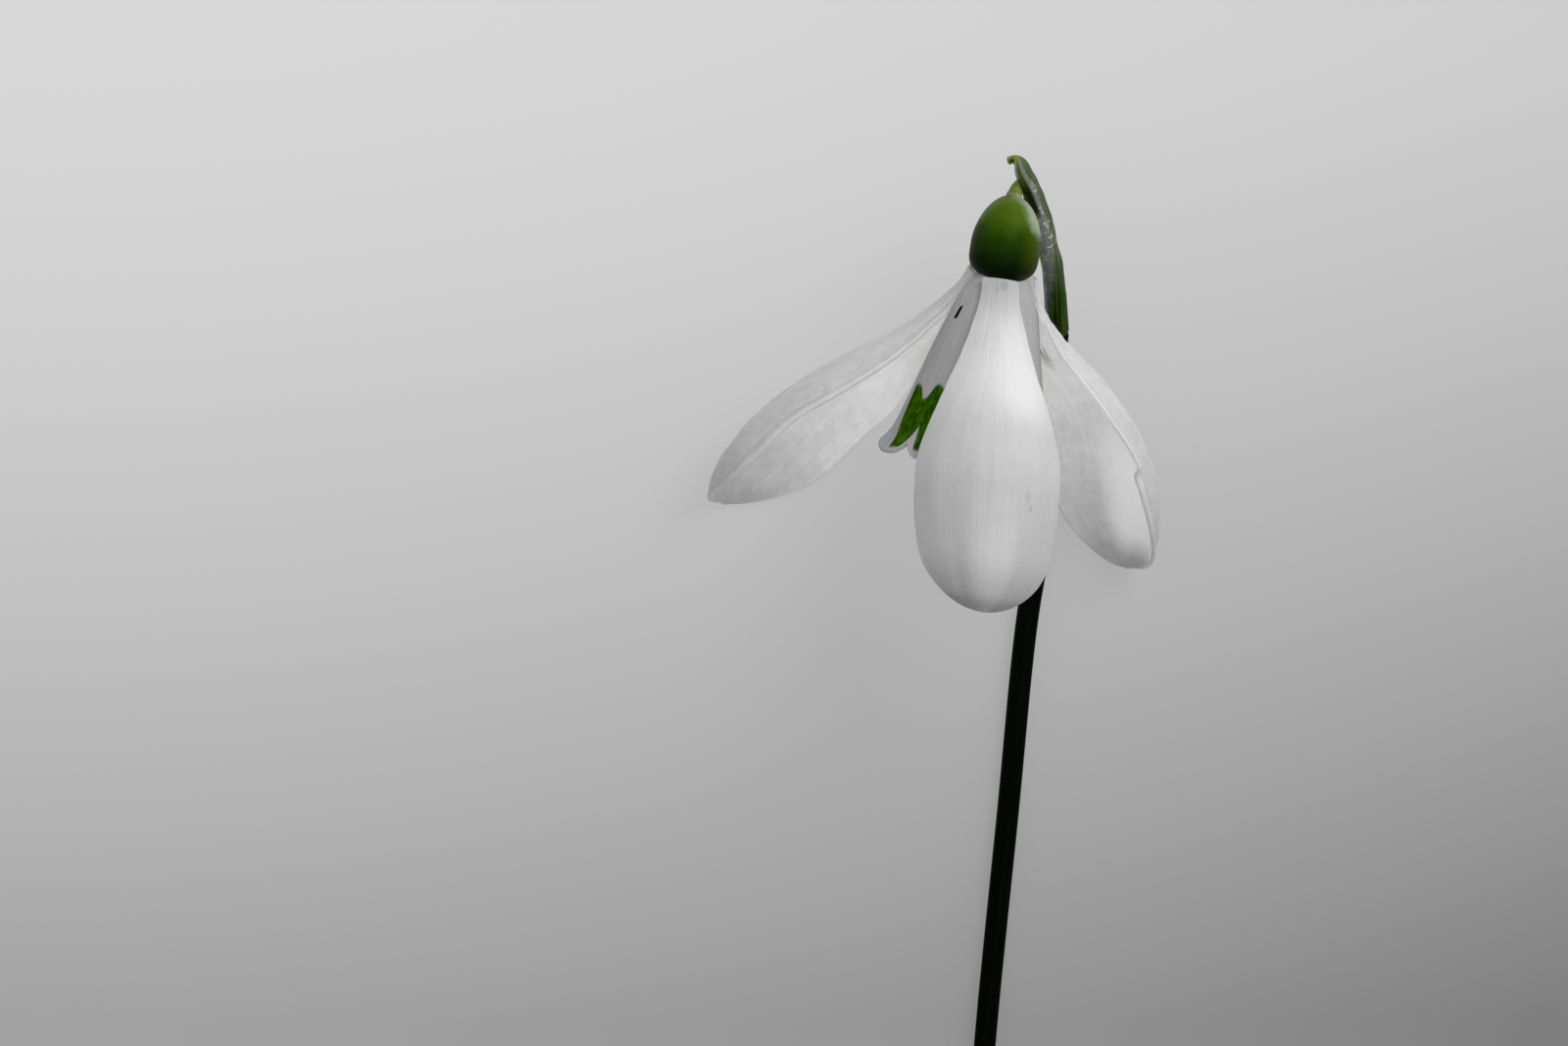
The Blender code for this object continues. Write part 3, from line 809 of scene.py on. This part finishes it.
def sheathMaterial(look):
    material, tree, shader, places = startMaterial("sheathSkin", look["surface"])
    across, along = places["across"], places["along"]
    streaks = grain(tree, places["blade"], (26, 5, 1), 3, 0.6)
    patches = grain(tree, places["object"], (1500, 900, 1500), 3, 0.6)
    wrinkles = grain(tree, places["object"], (1900, 1300, 1900), 2, 0.6, 0.8)
    aside = plus(tree, away(tree, across, 0.5), swing(tree, patches, 0.16))
    lined = rise(tree, streaks, 0.35, 0.65)
    green = mixed(tree, rise(tree, along, 0.14, 0.42), mixed(tree, lined, *look["greenLow"]),
                  mixed(tree, lined, *look["greenHigh"]))
    membrane = mixed(tree, rise(tree, along, 0.1, 0.5), *look["membrane"])
    # the green back of the sheath widens towards the stem
    greenEdge = rise(tree, along, 0.05, 0.45, 0.42, 0.2)
    base = mixed(tree, rise(tree, minus(tree, aside, greenEdge), -0.02, 0.05), green, membrane)
    # painted glints on the wrinkles and a painted highlight along both edges
    glints = times(tree, rise(tree, wrinkles, 0.53, 0.66), rise(tree, along, 0.3, 0.42),
                   rise(tree, along, 0.78, 0.6), rise(tree, aside, 0.1, 0.2))
    base = mixed(tree, glints, base, look["glint"])
    rim = times(tree, rise(tree, aside, 0.455, 0.485), rise(tree, along, 0.75, 0.65))
    base = mixed(tree, rim, base, look["rim"])
    # one edge curls in: painted shade beside the stalk, inside the curl, yellow-green above it and pale
    # at the bend
    fold = times(tree, rise(tree, across, 0.8, 0.86), rise(tree, along, 0.5, 0.58))
    base = mixed(tree, fold, base, mixed(tree, rise(tree, along, 0.68, 0.8), *look["fold"]))
    bend = times(tree, rise(tree, across, 0.9, 0.95), rise(tree, along, 0.76, 0.82))
    base = mixed(tree, bend, base, look["bend"])
    # a yellow-green hook with a pale tip
    base = mixed(tree, rise(tree, along, 0.84, 0.95), base, look["hook"])
    base = mixed(tree, rise(tree, along, 0.965, 0.995), base, look["tip"])
    tree.links.new(base, shader.inputs["Base Color"])
    tree.links.new(rise(tree, wrinkles, 0.3, 0.7, 0.45, 0.2), shader.inputs["Roughness"])
    relief(tree, shader, plus(tree, streaks, times(tree, wrinkles, 1.5)), look["relief"])
    return material


def buildSheath():
    look = sheathLook
    path = lyingPath(look)
    last = len(path) - 1
    opening = look["opening"].normalized()

    def place(u, v):
        i = round(u * last)
        heading = headingAt(path, i)
        back = -(opening - heading * opening.dot(heading)).normalized()
        side = back.cross(heading)
        ripple = smoothStep(u / 0.3) * smoothStep((0.95 - u) / 0.2) * wobble(u * 16, v * 3, 31)
        radius = look["radius"] * mm * alongCurve(look["width"], u) * (1 + look["ripple"] * ripple)
        angle = radians(alongCurve(look["halfAngle"], u)) * v
        return path[i] + back * radius * cos(angle) + side * radius * sin(angle)

    mesh = sheetMesh("sheath", look["columns"], last, place)
    piece = addPiece("sheath", mesh, [sheathMaterial(look)], "spathe")
    thicken(piece, look["thickness"] * mm)
    soften(piece)


stamenLook = {
    # outline: radius and height in mm, from the anther's tip down to the filament's foot
    "outline": ((0, 6.8), (0.08, 6.7), (0.144, 5.9), (0.36, 4.2), (0.48, 2.7), (0.456, 2.1),
                (0.288, 1.8), (0.2, 1.82), (0.2, 0.9), (0.2, 0), (0, 0)),
    "count": 6, "ring": 1.45, "lean": 8, "sides": 20, "relief": 0.06 * mm,
    "surface": {"Roughness": 0.65, "Specular IOR Level": 0.2, "Subsurface Weight": 0.1,
                "Subsurface Radius": (1.0, 0.6, 0.2), "Subsurface Scale": 0.3 * mm},
    "dark": (0.55, 0.22, 0.02), "light": (0.85, 0.46, 0.06),
}
styleLook = {
    "outline": ((0, 8.48), (0.21, 8.4), (0.14, 8.0), (0.14, 5.04), (0.24, 0.6), (0.24, 0), (0, 0)),
    "sides": 16, "relief": 0.03 * mm,
    "surface": {"Roughness": 0.5, "Subsurface Weight": 0.2, "Subsurface Scale": 0.3 * mm},
    "dark": (0.5, 0.58, 0.3), "light": (0.78, 0.8, 0.62),
}


def grainedMaterial(name, look, stretch, roughness):
    material, tree, shader, places = startMaterial(name, look["surface"])
    tone = grain(tree, places["object"], stretch, 3, roughness)
    tree.links.new(mixed(tree, tone, look["dark"], look["light"]), shader.inputs["Base Color"])
    relief(tree, shader, tone, look["relief"])
    return material


def buildStamens():
    look = stamenLook
    material = grainedMaterial("antherSkin", look, (6000, 6000, 6000), 0.6)
    for number in range(1, look["count"] + 1):
        turn = Matrix.Rotation(2 * pi * (number - 0.5) / look["count"], 4, "Z")
        place = (flowerFrame @ turn @ Matrix.Translation((look["ring"] * mm, 0, 0))
                 @ Matrix.Rotation(-radians(look["lean"]), 4, "Y"))
        mesh = turnedMesh(f"stamen{number}", look["outline"], look["sides"], place)
        piece = addPiece(f"stamen{number}", mesh, [material], f"stamen_{number}")
        soften(piece)


def buildStyle():
    look = styleLook
    material = grainedMaterial("styleSkin", look, (900, 300, 900), 0.5)
    mesh = turnedMesh("style", look["outline"], look["sides"], flowerFrame)
    piece = addPiece("stylePiece", mesh, [material], "style")
    soften(piece)


studio = {
    "cameraFromFoot": Vector((-17.76, -19.8, 600)) * mm, "lens": 168.75,
    "world": 0.5, "floorSize": 3.0, "paper": 0.2, "paperGlow": 0.53,
    # the paper's painted light falls off towards the front and the right: from and to in metres,
    # how late it falls, and how much is lost
    "front": (0.057, -0.027), "frontPower": 1.4, "frontLoss": 0.48,
    "right": (-0.076, 0.052), "rightPower": 1.7, "rightLoss": 0.13, "cornerLoss": 0.3,
    "lights": {
        # place in metres, size in metres, power in watts
        "key": (Vector((0.42, 0.42, 0.72)), 0.5, 3.4),
        "side": (Vector((0.6, 0.5, 0.25)), 0.4, 0.5),
    },
}


def buildFloor():
    mesh = bpy.data.meshes.new("floor")
    bm = bmesh.new()
    bmesh.ops.create_grid(bm, x_segments=4, y_segments=4, size=studio["floorSize"])
    bm.to_mesh(mesh)
    bm.free()
    floor = bpy.data.objects.new("floor", mesh)
    bpy.context.scene.collection.objects.link(floor)
    # the paper's colour and its glow are painted light, and it glows though it is no lamp
    material, tree, shader, places = startMaterial("floorPaper", {
        "Roughness": 0.9, "Specular IOR Level": 0.1, "Emission Strength": studio["paperGlow"],
    })
    split = tree.nodes.new("ShaderNodeSeparateXYZ")
    tree.links.new(places["object"], split.inputs[0])
    front = calc(tree, "POWER", span(tree, split.outputs[1], *studio["front"]), studio["frontPower"])
    right = calc(tree, "POWER", span(tree, split.outputs[0], *studio["right"]), studio["rightPower"])
    frontShare = calc(tree, "MULTIPLY_ADD", front, -studio["frontLoss"], 1.0)
    rightLoss = calc(tree, "MULTIPLY_ADD", front, studio["cornerLoss"], studio["rightLoss"])
    shade = times(tree, frontShare, minus(tree, 1.0, times(tree, right, rightLoss)))
    tree.links.new(mixed(tree, shade, 0.0, studio["paper"]), shader.inputs["Base Color"])
    tree.links.new(mixed(tree, shade, 0.0, 1.0), shader.inputs["Emission Color"])
    mesh.materials.append(material)


def buildLight():
    world = bpy.data.worlds.new("studio")
    bpy.context.scene.world = world
    world.use_nodes = True
    background = world.node_tree.nodes["Background"]
    background.inputs["Color"].default_value = (1, 1, 1, 1)
    background.inputs["Strength"].default_value = studio["world"]
    for name, (place, size, power) in studio["lights"].items():
        data = bpy.data.lights.new(name, "AREA")
        data.shape = "DISK"
        data.size = size
        data.energy = power
        lamp = bpy.data.objects.new(name, data)
        lamp.location = place
        lamp.rotation_euler = (foot - place).to_track_quat("-Z", "Y").to_euler()
        bpy.context.scene.collection.objects.link(lamp)


def buildCamera():
    data = bpy.data.cameras.new("camera")
    data.lens = studio["lens"]
    data.sensor_width = 36
    data.clip_start = 0.01
    camera = bpy.data.objects.new("camera", data)
    camera.location = foot + studio["cameraFromFoot"]  # looks straight down on the flower
    bpy.context.scene.collection.objects.link(camera)
    bpy.context.scene.camera = camera
    bpy.context.scene.view_settings.view_transform = "Standard"


buildCamera()
buildFloor()
buildLight()
print("studio ready")
buildOvary()
buildTepals()
print("ovary and tepals ready")
buildStem()
buildStalk()
buildSheath()
print("stem, stalk and sheath ready")
buildStamens()
buildStyle()
print("stamens and style ready")
